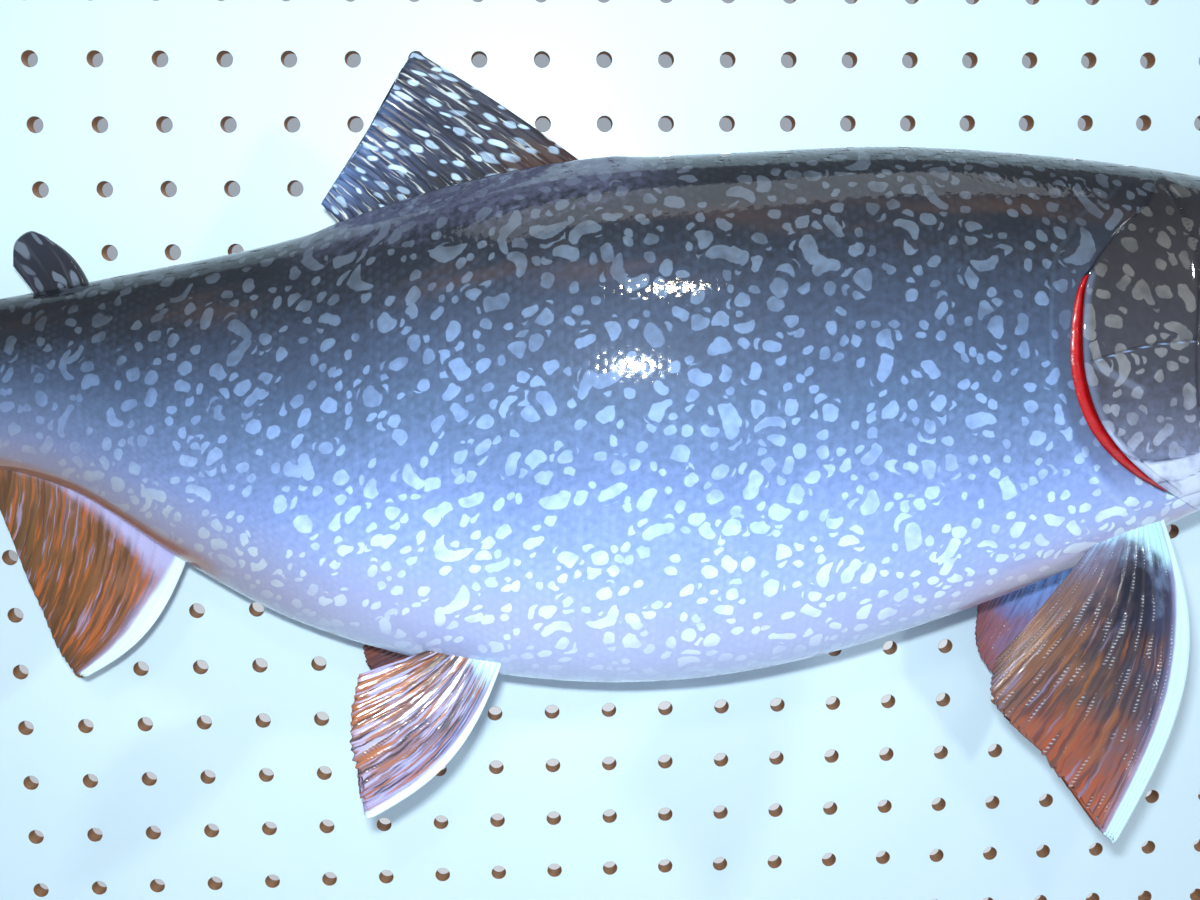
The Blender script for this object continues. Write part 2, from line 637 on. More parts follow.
tip = points[-1].mean(axis=0)
round_off = [tip + (points[-1] - tip) * size + Vector((bulge * mm, 0, 0))
             for size, bulge in ((0.85, 0.7), (0.6, 1.3), (0.3, 1.65))]
points = np.concatenate([points, round_off])
caps = np.stack([points[0].mean(axis=0), tip + Vector((1.8 * mm, 0, 0))])
vertices = np.concatenate([points.reshape(-1, 3), caps])
x, angle, z, lift, shut = (np.concatenate([grid, np.repeat(grid[-1:], 3, axis=0)])
                           for grid in (x, angle, z, lift, shut))
skin = shell("trout_skin", vertices, tube_faces(len(points), ring_count))
note(skin, "lie", capped(lie_on_body(x, angle, z)))
lead = ahead_of_gill(x, z)
on_head = smooth_step(lead, -0.1 * mm, 0.3 * mm)
hollow = np.clip((-lift - 0.7 * mm) / (0.8 * mm), 0, 1)
rim = bell(lead, 1.0 * mm, 0.9 * mm) * (lead > -0.2 * mm) * smooth_step(slit_opening(z), 0.3 * mm, 1.5 * mm)
for name, values in (("head", on_head), ("hollow", hollow), ("rim", rim)):
    note(skin, name, np.concatenate([values.ravel(), [0, on_head[-1, 0] if name == "head" else 0]]))
note(skin, "dot", np.zeros(len(vertices)))
lead_limit = 30 * mm
stored_lead = np.clip(lead, -lead_limit, lead_limit).ravel()
note(skin, "lead", np.concatenate([stored_lead, [-lead_limit, lead_limit]]))
throat_line = mm * np.array([
    (222, 24), (236, 12), (250, 11.5), (263, 15), (280, 12), (300, 10), (325, 19), (352, 31),
    (376, 43), (392, 53), (400, 56)])
throat_soft = 0.7 * mm + 7 * mm * smooth_step(x, 285 * mm, 325 * mm)
throat = on_head * smooth_step((along(throat_line, x) - z) / throat_soft, -1, 1)
note(skin, "throat", np.concatenate([throat.ravel(), [0, 0.5]]))
bone_edges = np.minimum.reduce([to_line(x, z, line) for line in (
    preopercle, subopercle, interopercle, jaw_edge, *throat_rays)])
bone_edges = np.minimum(bone_edges, to_line(x, z, upper_jaw) + 0.2 * mm)
holes = np.minimum(to_nearest(x, z, pores), to_nearest(x, z, nostrils) - 0.9 * mm)
far_off = 9 * mm
seams = np.stack([to_line(x, z, mouth), bone_edges, holes], axis=-1)
seams = np.where(on_head[..., None] > 0.5, np.minimum(seams, far_off), far_off)
over_gill = np.abs(lead + 0.2 * mm) + far_off * (
    1 - smooth_step(z, 76 * mm, 80 * mm) + smooth_step(z, 108 * mm, 116 * mm))
seams[..., 1] = np.minimum(seams[..., 1], over_gill)
seams = seams.reshape(-1, 3)
note(skin, "seams", np.concatenate([seams, [(far_off,) * 3, (0, far_off, far_off)]]))
pale_line = to_line(x, z, subopercle + np.array([0, -0.45 * mm]))
pale_fold = to_line(x, z, opercle_fold)
ridges = np.stack([pale_line, pale_fold, to_line(x, z, lower_lip)], axis=-1)
ridges = np.where(on_head[..., None] > 0.5, np.minimum(ridges, far_off), far_off).reshape(-1, 3)
note(skin, "ridges", np.concatenate([ridges, [(far_off,) * 3] * 2]))

# Clear varnish over airbrushed paint. The colour goes by height, dark on the back and pale
# lavender on the belly, with pale worm-like flecks over it and orange-brown low at the tail.
paint = Finish("fish_paint", roughness=0.5, specular_ior_level=0.08, coat_weight=1.0,
               coat_roughness=0.05, coat_ior=1.5)
lie = paint.attribute("lie", 1)
along_fish, round_fish, height = paint.split(lie)
on_head = paint.attribute("head", 2)
in_hollow = paint.attribute("hollow", 2)
on_rim = paint.attribute("rim", 2)
on_dot = paint.attribute("dot", 2)
flat = paint.add("CombineXYZ", {0: along_fish, 1: round_fish, 2: 0.0})


def shaken(place, scale, reach, apart):
    """A place pushed about by noise, so that what is drawn at it comes out bent."""
    drift = paint.drift(paint.shift(place, (apart, apart, 0)), scale, 1.0)
    return paint.shift(place, paint.scaled(drift, reach))


toward_tail = paint.step(along_fish, 0 * mm, -230 * mm)


def strokes(place, scale, apart, thin, spread, longest, bend, kept):
    """Above zero inside bent strokes with round ends, one to a cell of a scattered pattern."""
    place = paint.shift(place, apart)
    middle_of = paint.add("TexVoronoi", {"Vector": place, "Scale": scale, "Randomness": 0.8}, out=2,
                          voronoi_dimensions="2D")
    chance_a, chance_b, chance_c = paint.split(middle_of.node.outputs[1])
    from_middle = paint.scaled(paint.turn("SUBTRACT", place, middle_of), scale)
    way = paint.times(chance_a, 2 * math.pi)
    east, north, _ = paint.split(from_middle)
    cosine, sine = paint.calc("COSINE", way), paint.calc("SINE", way)
    u = paint.plus(paint.times(east, cosine), paint.times(north, sine))
    v = paint.less(paint.times(north, cosine), paint.times(east, sine))
    v = paint.times_plus(paint.times(u, u),
                         paint.times_plus(chance_c, 2 * bend, -bend), v)
    half_long = paint.times(chance_b, longest)
    past_end = paint.calc("MAXIMUM", paint.less(paint.calc("ABSOLUTE", u), half_long), 0.0)
    away = paint.calc("SQRT", paint.times_plus(past_end, past_end, paint.times(v, v)))
    thick = paint.times_plus(chance_c, spread, thin)
    thick = paint.times_plus(toward_tail, -0.02, thick)
    draw = paint.calc("FRACT", paint.times(paint.plus(chance_a, chance_b), 7.31))
    left_out = paint.times(paint.calc("GREATER_THAN", draw, kept), -1.0)
    field = paint.times_plus(paint.less(thick, away), 1 / scale, left_out)
    return field


def hooks(place):
    one = strokes(place, 54.0, (0, 0, 0), 0.10, 0.05, 0.29, 1.9, 0.44)
    two = strokes(place, 64.0, (0.37, 0.11, 0), 0.11, 0.06, 0.22, 1.4, 0.32)
    return paint.calc("MAXIMUM", one, two)


def beans(place):
    return strokes(place, 92.0, (0.71, 0.23, 0), 0.17, 0.09, 0.12, 1.2, 0.60)


def mark(field):
    return paint.step(field, -0.22 * mm, 0.28 * mm)


def clear_of(field, others, gap):
    """Keeps what is drawn by one field a gap away from what others draw."""
    room = paint.less(-gap, others)
    return paint.calc("SMOOTH_MIN", field, room, 1.3 * mm)


flecked = shaken(shaken(flat, 55.0, 6 * mm, 0.0), 260.0, 2.0 * mm, 3.0)
hook_field = hooks(flecked)
bean_field = clear_of(beans(flecked), hook_field, 2.1 * mm)
beside = paint.calc("MAXIMUM", hook_field, bean_field)
dot_field = clear_of(strokes(flecked, 150.0, (0.13, 0.57, 0), 0.19, 0.10, 0.08, 0.5, 0.66), beside, 1.7 * mm)
fleck = mark(paint.calc("MAXIMUM", beside, dot_field))
strength = paint.step(paint.noise(flat, 75.0, 2.0), 0.36, 0.56)
strength = paint.times(paint.times_plus(strength, 0.45, 0.55),
                       paint.times_plus(toward_tail, -0.42, 1.0))
fleck = paint.times(fleck, strength)
faint = paint.times(on_dot, paint.step(paint.noise(flat, 70.0, 2.0), 0.40, 0.60))
belly_fade = paint.times_plus(paint.step(height, 0.13, 0.03), -0.75, 1.0)

cloud = paint.noise(flat, 14.0, 2.0)
level = paint.times_plus(paint.less(cloud, 0.5), 0.13, height)
level = paint.times_plus(toward_tail, 0.12, level)
grain = paint.noise(flat, 330.0, 2.0)
level = paint.times_plus(paint.less(grain, 0.5), 0.16, level)
level = paint.times_plus(paint.step(along_fish, 90 * mm, 200 * mm), 0.05, level)


def by_height(stops):
    return paint.ramp(level, [(place, tint(*colour)) for place, colour in stops])


ground = by_height([
    (0.0, (176, 192, 232)), (0.15, (164, 177, 226)), (0.25, (148, 170, 226)), (0.35, (128, 153, 214)),
    (0.45, (103, 127, 174)), (0.55, (81, 102, 136)), (0.65, (66, 81, 108)), (0.75, (54, 64, 84)),
    (0.85, (37, 42, 52)), (1.0, (25, 27, 33))])
pale = by_height([
    (0.0, (200, 216, 246)), (0.15, (210, 230, 250)), (0.25, (210, 236, 252)), (0.35, (182, 212, 248)),
    (0.45, (150, 178, 228)), (0.55, (128, 156, 205)), (0.65, (112, 137, 178)), (0.75, (98, 117, 145)),
    (0.85, (86, 97, 112)), (1.0, (72, 79, 90))])
head_ground = by_height([
    (0.0, (200, 216, 246)), (0.12, (196, 212, 246)), (0.24, (150, 168, 216)), (0.33, (118, 130, 168)),
    (0.42, (92, 98, 122)), (0.55, (66, 67, 78)), (0.75, (50, 49, 54)), (1.0, (34, 34, 38))])
head_pale = by_height([
    (0.0, (225, 240, 252)), (0.22, (205, 220, 248)), (0.33, (164, 180, 222)), (0.42, (150, 158, 180)),
    (0.55, (132, 134, 140)), (0.75, (108, 107, 106)), (1.0, (84, 83, 80))])
body_colour = paint.blend(paint.times(faint, 0.12), ground, pale)
body_colour = paint.blend(paint.times(fleck, belly_fade), body_colour, pale)


def zone(start, full, low, high):
    """Comes in from a start along the fish to where it is full, and from one height to another."""
    return paint.times(paint.step(along_fish, start * mm, full * mm), paint.step(height, low, high))


def near_height(level, reach, full):
    return paint.step(paint.calc("ABSOLUTE", paint.less(height, level)), reach, full)


# glazes on the tail, low on it, over the anal fin, by the pectoral fin, along the upper flank and
# at the foot of the dorsal fin
over_anal = paint.times(paint.step(along_fish, -98 * mm, -112 * mm),
                        paint.step(along_fish, -205 * mm, -190 * mm))
streak = paint.step(paint.noise(paint.stretch(flat, (12, 60, 0)), 1.0, 2.0), 0.45, 0.75)
fin_foot = paint.times(paint.step(along_fish, -78 * mm, -40 * mm), paint.step(along_fish, 84 * mm, 44 * mm))
for mask, strong, colour in (
        (zone(-40, -190, 0.62, 0.3), 0.6, (96, 104, 128)),
        (zone(-10, -120, 0.36, 0.06), 0.6, (146, 128, 134)),
        (paint.times(over_anal, near_height(0.06, 0.075, 0.01)), 0.85, (146, 92, 62)),
        (zone(160, 205, 0.16, 0.03), 0.5, (206, 160, 150)),
        (paint.times(near_height(0.84, 0.09, 0.0), streak), 0.38, (102, 76, 62)),
        (paint.times(fin_foot, paint.step(level, 0.90, 1.0)), 0.45, (104, 108, 140))):
    body_colour = paint.glaze(body_colour, mask, strong, colour)
head_colour = paint.blend(paint.times(fleck, 0.8), head_ground, head_pale)
mottle = paint.step(paint.noise(flat, 95.0, 3.0), 0.42, 0.66)
throat_colour = paint.blend(mottle, tint(200, 213, 243), tint(160, 170, 202))
throat_colour = paint.glaze(throat_colour, fleck, 0.3, (226, 236, 252))
head_colour = paint.blend(paint.attribute("throat", 2), head_colour, throat_colour)
lead = paint.attribute("lead", 2)
shoulder = paint.times(paint.step(lead, -11.5 * mm, -8 * mm), paint.step(height, 0.16, 0.34))
shoulder = paint.times(shoulder, paint.step(height, 0.9, 0.62))
body_colour = paint.glaze(body_colour, shoulder, 0.5, (62, 66, 84))
ridge_line = paint.step(paint.calc("ABSOLUTE", paint.plus(lead, 11.8 * mm)), 1.3 * mm, 0.2 * mm)
body_colour = paint.blend(paint.times(ridge_line, 0.15), body_colour, pale)
skin_colour = paint.blend(on_head, body_colour, head_colour)
skin_colour = paint.glaze(skin_colour, on_rim, 0.4, (128, 144, 180))
skin_colour = paint.glaze(skin_colour, in_hollow, 0.7, (34, 30, 34))
to_mouth, to_bone, to_pore = paint.split(paint.attribute("seams", 1))
mouth_mark = paint.step(to_mouth, 1.0 * mm, 0.35 * mm)
bone_mark = paint.step(to_bone, 0.75 * mm, 0.1 * mm)
pore_mark = paint.step(to_pore, 0.65 * mm, 0.3 * mm)
to_pale_line, to_pale_fold, to_lip = paint.split(paint.attribute("ridges", 1))
for distance, reach, strong, colour in (
        (to_pale_line, 0.5 * mm, 0.7, (150, 180, 224)), (to_pale_fold, 2.2 * mm, 0.26, (150, 164, 196)),
        (to_lip, 2.6 * mm, 0.45, (134, 140, 158))):
    skin_colour = paint.glaze(skin_colour, paint.step(distance, reach, 0.15 * reach), strong, colour)
for mask, strong, colour in ((bone_mark, 0.45, (30, 30, 38)), (pore_mark, 0.8, (16, 14, 18))):
    skin_colour = paint.glaze(skin_colour, mask, strong, colour)
skin_colour = paint.blend(mouth_mark, skin_colour, tint(14, 10, 12))
paint.put("Base Color", skin_colour)
pits = paint.times_plus(pore_mark, -0.35 * mm, paint.times(mouth_mark, -0.6 * mm))
pits = paint.times_plus(bone_mark, -0.22 * mm, pits)
grit = paint.noise(flat, 900.0, 1.0)
pitted = paint.bump(paint.times_plus(grit, 0.015 * mm, pits), 1.0)
paint.put("Normal", pitted)
paint.put("Coat Normal", pitted)
paint.put("Coat Weight", paint.times_plus(paint.step(to_bone, 1.8 * mm, 0.4 * mm), -0.8, 1.0))
skin.data.materials.append(paint.material)
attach(skin, "root")
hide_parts("head", "lower_jaw", "near_gill_cover", "far_gill_cover", "near_upper_jaw",
            "far_upper_jaw", "front_trunk", "rear_trunk", "tail_stock")

# ---- scales ----
# Small thin scales lie over the trunk in slanting rows, each tucked under the one before it
# with its round rear edge free, all under the same paint and varnish as the skin.
scale_long = 3.0 * mm
bare_band = 12.5 * mm
scale_sides = 8
scale_size = scale_sides + 2
luck = np.random.default_rng(7)
bands = [(-302 * mm, -205 * mm, 62), (-205 * mm, -120 * mm, 82), (-120 * mm, 262 * mm, 112)]
centres = []
for start, stop, count in bands:
    for column, x0 in enumerate(np.arange(start, stop, scale_long * 0.98)):
        way = np.interp(x0, girth_x, np.arange(girth_count))
        following = min(int(way) + 1, girth_count - 1)
        ring_way = girth_way[int(way)] * (1 - way % 1) + girth_way[following] * (way % 1)
        ways = np.linspace(ring_way[0], ring_way[-1], count, endpoint=False)
        ways = ways + (0.25 + 0.5 * (column % 2)) * (ways[1] - ways[0])
        for place, angle0 in zip(ways, np.interp(ways, ring_way, girth_angle)):
            centres.append((x0, angle0, ways[1] - ways[0]))
x0, angle0, scale_wide = np.array(centres).T
jitter = luck.uniform(-1, 1, (4, len(x0)))
x0 = x0 + 0.16 * mm * jitter[0]
seat = flesh(x0, angle0)
keep = ahead_of_gill(x0, seat[:, 2]) < -bare_band
keep &= seat[:, 1] < board_front - flat_back - skin_depth - 0.3 * mm
x0, angle0, scale_wide = x0[keep], angle0[keep], scale_wide[keep]
jitter, seat = jitter[:, keep], seat[keep]
outwards = outward(x0, angle0)
turn_rate = np.linalg.norm(flesh(x0, angle0 + 0.01) - flesh(x0, angle0 - 0.01), axis=1) / 0.02
rim = np.arange(scale_sides) / scale_sides * 2 * math.pi
rim_back = np.where(np.cos(rim) > 0, 0.82 * np.cos(rim), 0.55 * np.cos(rim))
rim_side = 0.56 * np.sin(rim) * (1 - 0.12 * np.cos(rim))
back = np.concatenate([rim_back, [0.16, 0.16]])
side = np.concatenate([rim_side, [0, 0]])
rise = np.concatenate([0.05 * np.cos(rim) - 0.03, [0.06, -0.35]]) * mm
size = 1 + 0.07 * jitter[1]
back_way = back[None, :] * (scale_long * size)[:, None]
side_way = side[None, :] * (scale_wide * size)[:, None]
scale_small = np.clip(scale_wide / (3.2 * mm), 0.4, 1.1)
tilt_back, tilt_side = 0.012 * jitter[2:, :, None]
up_way = rise[None, :] * scale_small[:, None] + tilt_back * back_way + tilt_side * side_way
scale_x = x0[:, None] - back_way
scale_angle = angle0[:, None] + side_way / turn_rate[:, None]
scale_points = flesh(scale_x, scale_angle)
up_way = up_way + body_relief(scale_x, scale_angle, scale_points[..., 2])
scale_points = scale_points + outwards[:, None, :] * up_way[..., None]
scale_lie = lie_on_body(scale_x, scale_angle, scale_points[..., 2])
fan = []
for k in range(scale_sides):
    following = (k + 1) % scale_sides
    fan += [(k, following, scale_sides), (following, k, scale_sides + 1)]
fan = np.array(fan)
half_way = girth_way[:, -1].max()
patch_size = 0.0015
for name, chosen in (("near", scale_lie[:, -1, 1] < 0), ("far", scale_lie[:, -1, 1] >= 0)):
    part, part_lie = scale_points[chosen], scale_lie[chosen]
    total = len(part)
    faces = (fan[None] + (np.arange(total) * scale_size)[:, None, None]).reshape(-1, 3)
    scales = shell(name + "_scales", part.reshape(-1, 3), faces.tolist())
    note(scales, "lie", part_lie.reshape(-1, 3))
    note(scales, "dot", np.tile([0.0] * scale_sides + [1.0, 0.0], total))
    for zero in ("head", "hollow", "rim", "throat"):
        note(scales, zero, np.zeros(total * scale_size))
    for distances in ("seams", "ridges"):
        note(scales, distances, np.full((total * scale_size, 3), far_off))
    scale_lead = ahead_of_gill(part_lie[..., 0], part[..., 2])
    note(scales, "lead", np.clip(scale_lead, -lead_limit, lead_limit).ravel())
    root_u = (x0[chosen] - tail_root) / (snout - tail_root)
    root_v = 0.5 + 0.49 * part_lie[:, -1, 1] / half_way
    patch_u = root_u[:, None] - patch_size * back_way[chosen] / scale_long
    patch_v = root_v[:, None] + patch_size * side_way[chosen] / scale_long
    patch = np.stack([patch_u, patch_v], axis=-1).reshape(-1, 2)
    unwrap = scales.data.uv_layers.new(name="OFBake")
    corner_point = np.empty(len(scales.data.loops), int)
    scales.data.loops.foreach_get("vertex_index", corner_point)
    unwrap.data.foreach_set("uv", patch[corner_point].ravel())
    bpy.ops.object.select_all(action="DESELECT")
    scales.select_set(True)
    bpy.context.view_layer.objects.active = scales
    bpy.ops.object.shade_smooth_by_angle(angle=math.radians(50))
    scales.data.materials.append(paint.material)
    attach(scales, "root")

# ---- gill lining ----
# The red gill membrane shows in the slit behind each gill cover. It is a soft frilled strip,
# painted blood red and left wet-looking, tucked under the cover at its front edge.


def angle_at(x, z, near):
    """The way round the body at a side-view place."""
    level, wide, up, down = section_sizes(x)
    part = np.clip((z - level) / np.where(z > level, up, down), -1, 1)
    sine = np.sign(part) * np.abs(part) ** (along(squareness, x) / 2)
    quarter = np.arcsin(sine)
    return quarter if near else math.pi - quarter


frill_points, frill_faces, frill_side, frill_count = [], [], [], 0
for near in (True, False):
    z = np.linspace(-1.5 * mm, 78.5 * mm, 150)[:, None]
    way = np.linspace(0, 1, 13)[None, :]
    opening = slit_opening(z)
    lead = -opening - 0.3 * mm + way * (opening + 1.9 * mm)
    x = along(gill_edge, z) + lead * gill_slant(z)
    z = np.broadcast_to(z, x.shape)
    angle = angle_at(x, z, near)
    ruffle = np.sin(z / (1.3 * mm) + 3 * way) * np.sin(z / (3.7 * mm) + 1.0)
    deep = 2.6 - 1.6 * np.sin(math.pi * np.clip(way * 1.25, 0, 1)) ** 0.6 + 0.16 * ruffle
    base = flesh(x, angle)
    out = outward(x, angle)
    top = base - out * (deep * mm)[..., None]
    under = base - out * 3.4 * mm
    ring = np.concatenate([top, under[:, ::-1]], axis=1)
    size = ring.shape[1]
    faces = np.array([f if near else f[::-1] for f in tube_faces(len(ring), size)], dtype=object)
    frill_faces += [tuple(int(k) + frill_count for k in f) for f in faces]
    frill_points.append(capped(ring))
    across_frill = np.tile(np.concatenate([way[0], way[0][::-1]]), len(ring))
    frill_side.append(np.concatenate([across_frill, [0, 0]]))
    frill_count += len(frill_points[-1])
frill = shell("gill_frill", np.concatenate(frill_points), frill_faces)
note(frill, "across", np.concatenate(frill_side))
red = Finish("gill_red_paint", roughness=0.35, coat_weight=1.0, coat_roughness=0.08)
place = red.own_place()
streaks = red.noise(red.stretch(place, (300, 300, 900)), 1.0, 3.0)
shade = red.blend(streaks, tint(140, 6, 12), tint(208, 14, 18))
deeper = red.step(red.attribute("across", 2), 0.72, 1.0)
red.put("Base Color", red.blend(deeper, shade, tint(60, 4, 8)))
red.put("Normal", red.bump(streaks, 0.3 * mm, 0.5))
frill.data.materials.append(red.material)
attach(frill, "root")
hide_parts("gill_lining")

# ---- eyes ----
# Glass eyes set in the sockets: a brassy iris with dark flecks, and a black pupil drawn out to
# a point in front. Each is a domed lens with its rim held under the skin of the socket.
eye_deep = 6.5 * mm
eye_proud = 1.2 * mm
for near, name in ((True, "near"), (False, "far")):
    side = 1 if near else -1
    where = np.array([eye_x, eye_x + mm, eye_x]), np.array([eye_z, eye_z, eye_z + mm])
    spot, ahead, above = flesh(where[0], angle_at(where[0], where[1], near), 0)
    outwards = Vector(np.cross(ahead - spot, above - spot) * side).normalized()
    middle_place = Vector(spot) + outwards * (eye_proud - eye_deep)
    bpy.ops.object.select_all(action="DESELECT")
    bpy.ops.mesh.primitive_uv_sphere_add(segments=64, ring_count=48, radius=1)
    eye = bpy.context.object
    eye.name = name + "_glass_eye"
    forward = Vector((1, 0, 0))
    forward = (forward - outwards * forward.dot(outwards)).normalized()
    upward = outwards.cross(forward) * side
    local = []
    for vertex in eye.data.vertices:
        across_eye, up_eye, out_eye = vertex.co.x, vertex.co.y, vertex.co.z
        reach = math.hypot(across_eye, up_eye)
        cornea = 0.09 * max(0.0, 1 - (reach / 0.62) ** 2) ** 1.5 if out_eye > 0 else 0
        local.append((across_eye, up_eye, reach))
        vertex.co = (middle_place + forward * across_eye * eye_radius + upward * up_eye * eye_radius
                     + outwards * (out_eye + cornea) * eye_deep)
    face_outwards(eye)
    bpy.ops.object.shade_smooth()
    note(eye, "look", np.array(local))
    eye.data.materials.clear()
    if near:
        glass = Finish("glass_eye", roughness=0.25, coat_weight=1.0, coat_roughness=0.02)
        look_across, look_over, look_out = glass.split(glass.attribute("look", 1))
        ahead_part = glass.calc("MAXIMUM", look_across, 0.0)
        stretched = glass.plus(look_out, glass.times(ahead_part, -0.30))
        stretched = glass.plus(stretched, glass.times(glass.calc("ABSOLUTE", look_over), 0.10))
        pupil = glass.step(stretched, 0.47, 0.44)
        ring_glow = glass.step(look_out, 0.47, 0.62)
        iris_noise = glass.noise(glass.attribute("look", 1), 7.0, 5.0)
        iris = glass.ramp(iris_noise, [
            (0.3, tint(70, 52, 26)), (0.5, tint(176, 138, 62)), (0.7, tint(226, 202, 128))])
        iris = glass.blend(ring_glow, tint(238, 214, 140), iris)
        iris = glass.blend(glass.step(look_out, 0.80, 0.93), iris, tint(40, 34, 30))
        glass.put("Base Color", glass.blend(pupil, iris, tint(4, 4, 6)))
        glass.put("Metallic", glass.times(glass.less(1.0, pupil), 0.55))
    eye.data.materials.append(glass.material)
    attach(eye, "root")
    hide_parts(name + "_eye")

# ---- fins ----
# Each fin is a thin web of skin over soft rays that fork towards the edge, set firm in resin and
# painted on both sides. Its root runs down into the body, and its outer edge is a little frayed.


def strand(points, s):
    """Places along a smooth line through a few (x, distance from the panel, z) points."""
    p = np.array([(x, board_front / mm - out, z) for x, out, z in points]) * mm
    p = np.concatenate([[2 * p[0] - p[1]], p, [2 * p[-1] - p[-2]]])
    where = s * (len(points) - 1)
    k = np.minimum(where.astype(int), len(points) - 2)
    w = (where - k)[..., None]
    p0, p1, p2, p3 = p[k], p[k + 1], p[k + 2], p[k + 3]
    d0, d1, d2 = (np.sqrt(np.linalg.norm(b - a, axis=-1, keepdims=True)) for a, b in
                  ((p0, p1), (p1, p2), (p2, p3)))
    m1 = ((p1 - p0) / d0 - (p2 - p0) / (d0 + d1) + (p2 - p1) / d1) * d1
    m2 = ((p2 - p1) / d1 - (p3 - p1) / (d1 + d2) + (p3 - p2) / d2) * d1
    return p1 + w * (m1 + w * (3 * (p2 - p1) - 2 * m1 - m2 + w * (2 * (p1 - p2) + m1 + m2)))


def fin(name, root, edge, bow_front=(0, 0, 0), bow_back=(0, 0, 0), rays=12, columns=170, rows=84,
        thick=1.7, thin=0.6, ridge=0.32, frayed=0.012, wave=0.5, flesh_root=0.8, seed=1):
    """A fin's closed web. Its points carry (front to rear, root to edge, ray) and their lengths."""
    chance = np.random.default_rng(seed)
    push = np.array([1, -1, 1]) * mm
    front, rear = np.array(bow_front) * push, np.array(bow_back) * push

    def at(s, t):
        swell = np.sin(math.pi * t)[..., None]
        bow = front * (1 - s)[..., None] + rear * s[..., None]
        return strand(root, s) * (1 - t)[..., None] + strand(edge, s) * t[..., None] + swell * bow

    def ray_at(s, t):
        cell = np.abs(s * rays % 1 - 0.5)
        fork = 0.27 * smooth_step(t, 0.3, 0.85)
        return np.exp(-((cell - fork) / (0.17 - 0.07 * t)) ** 2) if rays else np.zeros_like(s)

    s, t = np.meshgrid(np.linspace(0, 1, columns), np.linspace(0, 1, rows))
    ray_edge = ray_at(s, np.ones_like(t))
    notches = 4 * max(rays, 4)
    notch = np.interp(s[0], np.linspace(0, 1, notches), chance.uniform(0, 1, notches))
    end = 1 - frayed * (1 - ray_edge) - 0.8 * frayed * notch[None, :]
    t = t * end
    tiny = 0.01
    over = at(np.minimum(s + tiny, 1), t) - at(np.maximum(s - tiny, 0), t)
    outer = at(s, np.minimum(t + tiny, 1)) - at(s, np.maximum(t - tiny, 0))
    normal = np.cross(over, outer)
    normal /= np.linalg.norm(normal, axis=-1, keepdims=True)
    wide = np.linalg.norm(strand(edge, s) - strand(edge, np.maximum(s - tiny, 0)), axis=-1).mean() / tiny
    long = np.linalg.norm(strand(edge, s) - strand(root, s), axis=-1)
    ray = ray_at(s, t)
    half = 0.5 * (thick + (thin - thick) * t ** 0.7) + ridge * ray * (1 - 0.45 * t)
    half += flesh_root * np.exp(-(t / 0.16) ** 2)
    from_side = np.minimum(s, 1 - s) * wide / (1.1 * mm)
    from_end = (1 - t / end) * long / (1.2 * mm)
    half *= np.sqrt(np.clip(from_side, 0.0, 1) + 0.02) * np.sqrt(np.clip(from_end, 0, 1) + 0.06)
    bend = wave * np.sin(s * 9.0 + seed) * t ** 1.5 + 0.35 * wave * np.sin(s * 23.0 + 2 * seed) * t
    centre = at(s, t) + normal * (bend * mm)[..., None]
    near_face = centre + normal * (half * mm)[..., None]
    far_face = centre - normal * (half * mm)[..., None]
    ring = np.concatenate([near_face, far_face[:, ::-1]], axis=1)
    piece = shell(name, capped(ring), tube_faces(rows, 2 * columns))
    facts = np.stack([s, t / end, ray], axis=-1)
    reach = np.stack([s * wide, t * long, np.zeros_like(s)], axis=-1)
    for kind, values, ends in (("fin", facts, [(0.5, 0, 0), (0.5, 1, 0)]),
                               ("reach", reach, [(0, 0, 0), (0, 0.05, 0)])):
        both_faces = np.concatenate([values, values[:, ::-1]], axis=1).reshape(-1, 3)
        note(piece, kind, np.concatenate([both_faces, ends]))
    face_outwards(piece)
    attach(piece, "root")
    return piece


def painted_ovals(made, under, reach, out, scale, kept, oval_tint):
    """Pale oval flecks scattered over a fin, fewer and fainter by its root."""
    place = made.shift(made.stretch(reach, (1, 0.5, 0)),
                       made.stretch(made.drift(reach, 120.0, 1.0), (0.004, 0.003, 0)))
    oval = made.add("TexVoronoi", {"Vector": place, "Scale": scale, "Randomness": 0.95}, out=0,
                    voronoi_dimensions="2D")
    size, chance, dim = made.split(oval.node.outputs[1])
    mark = made.step(made.less(made.times_plus(size, 0.22, 0.14), oval), -0.05, 0.09)
    mark = made.times(mark, made.step(chance, 1 - kept, 1.04 - kept))
    mark = made.times(mark, made.times_plus(dim, 0.6, 0.4))
    mark = made.times(mark, made.step(out, 0.02, 0.24))
    return made.blend(mark, under, tint(*oval_tint))


